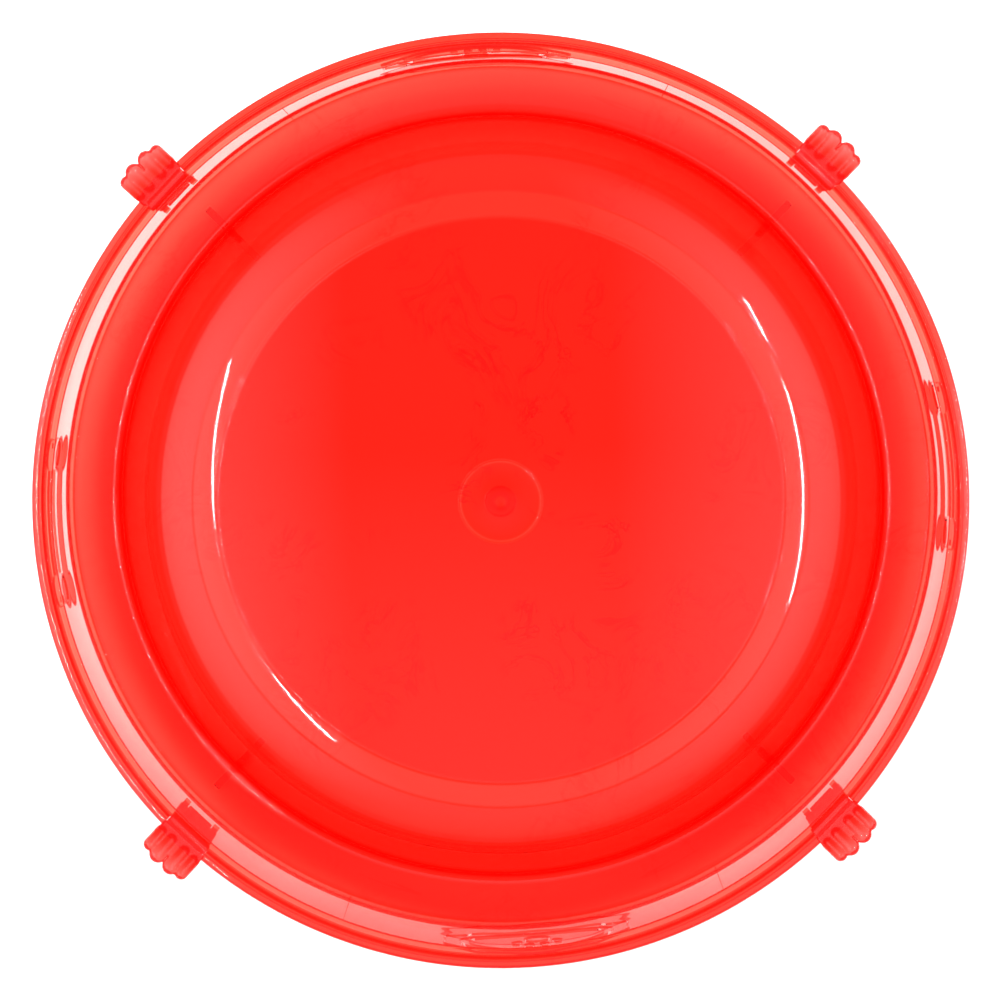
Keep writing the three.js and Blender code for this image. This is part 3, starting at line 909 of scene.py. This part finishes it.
# Marks the ribs and the wall's two faces, which get the plastic's painted pale reflection, and on
# the inner face each point's place beside a raised shape.
def markWall(piece):
    size = reliefSize
    faceReach, shapeReach = 0.25, 25  # millimetres from the inner face, degrees from a shape's middle
    ribInner, ribOuter = ribSize["outer"] - ribSize["length"] - 0.5, ribSize["outer"] + 0.5
    ribHalf = ribSize["thickness"] / 2 + 0.15
    share = 360 / hingeSize["count"]
    shapes = [(a, size["boneUp"], 1.0) for a in size["boneAngles"]]
    shapes += [(a, size["badgeUp"], 2.0) for a in size["badgeAngles"]]
    inside = insideLine(fine=True)
    wall, relief, rib = [], [], []
    for v in piece.data.vertices:
        radius, up = math.hypot(v.co.x, v.co.y) / mm, v.co.z / mm
        turn = math.degrees(math.atan2(v.co.y, v.co.x))
        inner = wallOuterAt(up) - panSize["wallThickness"]
        isWall = paleFrom - 0.5 < up < ledgeHeight - 0.4
        onInner = isWall and abs(radius - inner) < faceReach
        onOuter = isWall and -0.1 < radius - wallOuterAt(up) < size["height"] + 0.1
        wall.append(1.0 if onInner or onOuter else 0.0)
        place = (0.0, 0.0, 0.0)
        for angle, middle, kind in shapes:
            aside = (turn - angle + 180) % 360 - 180
            if abs(radius - inner) < 1.5 and abs(aside) < shapeReach:
                place = (math.radians(aside) * inner, up - middle, kind)
        relief += place
        ribTurn = (turn - hingeSize["firstAngle"] - ribSize["turn"] + share / 2) % share - share / 2
        across = abs(radius * math.sin(math.radians(ribTurn)))
        onRib = across < ribHalf and ribInner < radius < ribOuter
        rib.append(1.0 if onRib and up < heightOn(inside, radius) - panSize["wallThickness"] - 0.4 else 0.0)
    piece.data.attributes.new("wall", "FLOAT", "POINT").data.foreach_set("value", wall)
    piece.data.attributes.new("rib", "FLOAT", "POINT").data.foreach_set("value", rib)
    piece.data.attributes.new("relief", "FLOAT_VECTOR", "POINT").data.foreach_set("vector", relief)


def basePan():
    pan = turnedShell()
    print("pan turned:", len(pan.data.vertices), "points")
    for part in clipSeats() + reliefs():
        boolean(pan, part, "UNION")
    boolean(pan, rimNotches(), "DIFFERENCE")
    smoothed(facingOut(pan, 0.000001))
    markWall(pan)
    print("pan made:", len(pan.data.polygons), "faces")
    return pan


pan = basePan()
pan.data.materials.clear()
pan.data.materials.append(panPlastic)
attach(pan, "pan")
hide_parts("base_pan")


# The snap clips in millimetres. Their width and height come from the hinges and the rim.
clipSize = {
    "armThickness": 2.4,
    "hookReach": 2.6,
    "hookOpening": 3.0,
    "hookThickness": 2.0,
    "tabReach": 9.6,
    "tabRise": 6.4,
    "tabThickness": 2.6,
    "lobeBack": 1.3,
    "outerLobeShare": 0.78,
    "toeStart": 0.35,    # share of the tab's length at which a toe begins
    "toeDepth": 0.62,    # its half depth as a share of the tab's thickness
    "mouthShare": 0.85,  # the barrel's mouth as a share of the bar, so that it snaps
    "grain": 0.28,       # the fineness of the clip's rounding
}
armFoot = hingeSize["height"] + hingeSize["lugRadius"] + 0.9
hookUnder = ledgeHeight + clipSize["hookOpening"]
hookTop = hookUnder + clipSize["hookThickness"]


def armInnerAt(height):
    return wallOuterAt(height) + hingeSize["armGap"]


tabWidth = hingeSize["width"] + 2 * hingeSize["tabLap"]
middleLobe = tabWidth / (4 * (1 + clipSize["outerLobeShare"])) + 0.45
outerLobe = middleLobe * clipSize["outerLobeShare"]
tabTip = Vector((rimRadius + clipSize["tabReach"] - middleLobe,
                 rimHeight + clipSize["tabRise"] - clipSize["tabThickness"] / 2))
tabRoot = Vector((armInnerAt(rimHeight) + clipSize["armThickness"] / 2,
                  hookTop - clipSize["tabThickness"] / 2))


def clipArm():
    thick = clipSize["armThickness"]
    reach = clipSize["hookReach"]
    high = armInnerAt(rimHeight)
    hook = armInnerAt(hookUnder)
    return plate("clipArm", [
        (armInnerAt(armFoot), armFoot), (armInnerAt(armFoot) + thick, armFoot),
        (high + thick, rimHeight - 3), (high + thick + 1.4, rimHeight - 0.6),
        (tabRoot.x + 3.4, tabRoot.y), (tabRoot.x, hookTop), (hook, hookTop),
        (hook - reach + 0.9, hookTop - 0.5), (hook - reach, hookUnder + 0.5),
        (hook - reach + 0.3, hookUnder), (hook, hookUnder),
    ], hingeSize["width"])


def clipToe(radius, aside, start, reach):
    bm = bmesh.new()
    bmesh.ops.create_uvsphere(bm, u_segments=24, v_segments=16, radius=radius * mm)
    for v in bm.verts:
        v.co.z *= clipSize["tabThickness"] * clipSize["toeDepth"] / radius
        v.co.x += (reach if v.co.x > 0 else start) * mm
        v.co.y += aside * mm
    return fromBmesh("clipToe", bm)


def clipTab():
    run = tabTip - tabRoot
    half = clipSize["tabThickness"] / 2
    length = run.length
    start = length * clipSize["toeStart"]
    end = length - 1.6  # inside the toes' round ends
    parts = [plate("clipTab", [(0, -half), (end, -half), (end, half), (0, half)], tabWidth)]
    outerReach = length - clipSize["lobeBack"] + middleLobe - outerLobe
    for side in (-1, 1):
        parts.append(clipToe(middleLobe, side * (middleLobe - 0.1), start, length))
        parts.append(clipToe(outerLobe, side * (tabWidth / 2 - outerLobe + 0.35), start, outerReach))
    lift = Matrix.Translation((tabRoot.x * mm, 0, tabRoot.y * mm))
    tilt = Matrix.Rotation(-math.atan2(run.y, run.x), 4, "Y")
    for part in parts:
        part.data.transform(lift @ tilt)
    return parts


# The barrel is a C, so that it snaps over the bar from above.
def clipBarrel():
    up, width = hingeSize["height"], hingeSize["barrelWidth"]
    thick = clipSize["armThickness"]
    body = rod("clipBarrel", barrelOuter, width, hingeRadius, up)
    web = plate("barrelWeb", [
        (hingeRadius - barrelOuter * 0.8, up), (hingeRadius + barrelOuter * 0.9, up),
        (armInnerAt(armFoot) + thick, armFoot + 1.5), (armInnerAt(armFoot), armFoot + 1.5),
    ], width)
    boolean(body, web, "UNION")
    boreRadius = hingeSize["barRadius"] + hingeSize["barClearance"]
    boolean(body, rod("bore", boreRadius, width + 2, hingeRadius, up), "DIFFERENCE")
    half = hingeSize["barRadius"] * clipSize["mouthShare"]
    low = up - barrelOuter - 1
    mouth = plate("mouth", [
        (hingeRadius - half, up), (hingeRadius + half, up),
        (hingeRadius + half, low), (hingeRadius - half, low),
    ], width + 2)
    return boolean(body, mouth, "DIFFERENCE")


# One clip at angle 0: its parts joined, then melted together as a mould's radii would.
def snapClip():
    clip = clipArm()
    for part in clipTab() + [clipBarrel()]:
        boolean(clip, facingOut(part), "UNION")
    melt = clip.modifiers.new("melt", "REMESH")
    melt.mode = "VOXEL"
    melt.voxel_size = clipSize["grain"] * mm
    melt.use_smooth_shade = True
    ease = clip.modifiers.new("ease", "SMOOTH")
    ease.factor = 0.5
    ease.iterations = 6
    applied(clip)
    print("clip made:", len(clip.data.polygons), "faces")
    return facingOut(clip, 0.000001)


firstClip = snapClip()
for body, members in frame["record"]["behaviour"]["bodies"].items():
    if body == "pan":
        continue
    node = members[0]
    low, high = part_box(node)
    middle = (low + high) / 2
    side = math.degrees(math.atan2(middle.y, middle.x))
    clip = turnedCopy(firstClip, side, node + "_moulding")
    clip.data.polygons.foreach_set("use_smooth", [True] * len(clip.data.polygons))
    clip.data.materials.clear()
    clip.data.materials.append(clipPlastic)
    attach(clip, body)
    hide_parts(node)
discard(firstClip)
print("clips made")


# The table and the light, in metres and watts.
studio = {
    "floorColour": "#f4f4f4",
    "floorSize": 16.0,
    "worldColour": "#e9edf2",
    "worldStrength": 0.24,
    # each lamp's name, place, width, height, power and how it shines
    "lamps": [
        ("eastBox", (1.5, 0.1, 1.0), 0.9, 1.2, 44, {}),
        ("westBox", (-1.5, 0.3, 1.0), 0.9, 1.2, 54, {}),
        ("backBox", (-0.3, 1.6, 1.0), 0.8, 1.4, 52, {}),
        ("eastPanel", (0.64, 0.0, 1.7), 1.1, 1.9, 9.5, {"glossy": True, "soft": True}),
        ("westPanel", (-0.72, 0.0, 1.7), 1.1, 1.9, 12, {"glossy": True, "soft": True}),
        ("frontPanel", (0.0, -0.60, 1.7), 1.2, 1.6, 3.5, {"glossy": True, "soft": True}),
        ("eastStrip", (0.50, 0.0, 1.6), 0.010, 0.62, 1.6, {"glossy": True, "dots": 60}),
        ("westStrip", (-0.38, -0.13, 1.6), 0.010, 0.64, 1.6, {"glossy": True, "dots": 74}),
    ],
}


def plainFloor():
    bm = bmesh.new()
    bmesh.ops.create_grid(bm, x_segments=1, y_segments=1, size=studio["floorSize"] / 2)
    floor = fromBmesh("floor", bm)
    material = bpy.data.materials.new("paleBoard")
    material.use_nodes = True
    skin = material.node_tree.nodes["Principled BSDF"]
    skin.inputs["Base Color"].default_value = linearOf(studio["floorColour"])
    skin.inputs["Roughness"].default_value = 0.9
    floor.data.materials.append(material)
    floor.location.z = -0.0002


# A lamp that faces the pan, its height measured level. With dots it is a strip of small lamps,
# and a soft one fades out towards its edges.
def softBox(name, place, width, height, power, glossy=False, dots=0, soft=False):
    data = bpy.data.lights.new(name, "AREA")
    data.shape = "RECTANGLE"
    data.size, data.size_y = width, height
    data.energy = power
    lamp = bpy.data.objects.new(name, data)
    bpy.context.scene.collection.objects.link(lamp)
    lamp.location = place
    out = Vector(place).normalized()
    along = Vector((0, 0, 1)).cross(out).normalized()
    lamp.rotation_mode = "QUATERNION"
    lamp.rotation_quaternion = Matrix((along.cross(out), along, out)).transposed().to_quaternion()
    lamp.visible_camera = False
    lamp.visible_glossy = glossy
    lamp.visible_transmission = False
    if not dots and not soft:
        return lamp
    data.use_nodes = True
    tree = data.node_tree
    over = addNode(tree, "ShaderNodeNewGeometry").outputs["Parametric"]
    if dots:
        spread = addNode(tree, "ShaderNodeVectorMath", {"operation": "MULTIPLY"}, {
            0: over, 1: (2.0, dots, 1.0),
        })
        shine = addNode(tree, "ShaderNodeTexChecker", None, {
            "Vector": spread.outputs[0], "Scale": 1.0,
            "Color1": (2, 2, 2, 1), "Color2": (0.02, 0.02, 0.02, 1),
        }).outputs["Color"]
    else:
        turns = addNode(tree, "ShaderNodeVectorMath", {"operation": "MULTIPLY"}, {
            0: over, 1: (math.pi, math.pi, 0.0),
        })
        waves = addNode(tree, "ShaderNodeVectorMath", {"operation": "SINE"}, {0: turns.outputs[0]})
        parts = addNode(tree, "ShaderNodeSeparateXYZ", None, {0: waves.outputs[0]}).outputs
        shine = addNode(tree, "ShaderNodeMath", {"operation": "MULTIPLY"}, {
            0: parts["X"], 1: parts["Y"],
        }).outputs[0]
    tree.links.new(shine, tree.nodes["Emission"].inputs["Color"])
    return lamp


def softLight():
    world = bpy.data.worlds.new("studio")
    bpy.context.scene.world = world
    world.use_nodes = True
    back = world.node_tree.nodes["Background"]
    back.inputs["Color"].default_value = linearOf(studio["worldColour"])
    back.inputs["Strength"].default_value = studio["worldStrength"]
    for name, place, width, height, power, shine in studio["lamps"]:
        softBox(name, place, width, height, power, **shine)


cameraView = {
    "distance": 1.154,  # metres from the rim
    "lens": 129.94,     # millimetres
    "aimBack": 1.19,    # millimetres behind the middle of the pan
    "leanBack": 3.1,    # degrees, as the next two
    "leanRight": 0.65,
    "roll": 1.7,
}


def addCamera():
    data = bpy.data.cameras.new("camera")
    data.lens = cameraView["lens"]
    data.sensor_width = 36.0
    data.clip_start, data.clip_end = 0.05, 20.0
    camera = bpy.data.objects.new("camera", data)
    bpy.context.scene.collection.objects.link(camera)
    target = Vector((0, cameraView["aimBack"] * mm, rimHeight * mm))
    back, right = (math.radians(cameraView[k]) for k in ("leanBack", "leanRight"))
    direction = Vector((math.tan(right), math.tan(back), 1)).normalized()
    camera.location = target + direction * cameraView["distance"]
    camera.rotation_mode = "QUATERNION"
    across = Vector((0, 1, 0)).cross(direction).normalized()
    upright = Matrix((across, direction.cross(across), direction)).transposed()
    roll = Matrix.Rotation(math.radians(-cameraView["roll"]), 3, "Z")
    camera.rotation_quaternion = (upright @ roll).to_quaternion()
    bpy.context.scene.camera = camera


plainFloor()
softLight()
addCamera()
bpy.context.scene.view_settings.view_transform = "Standard"
print("stage set")
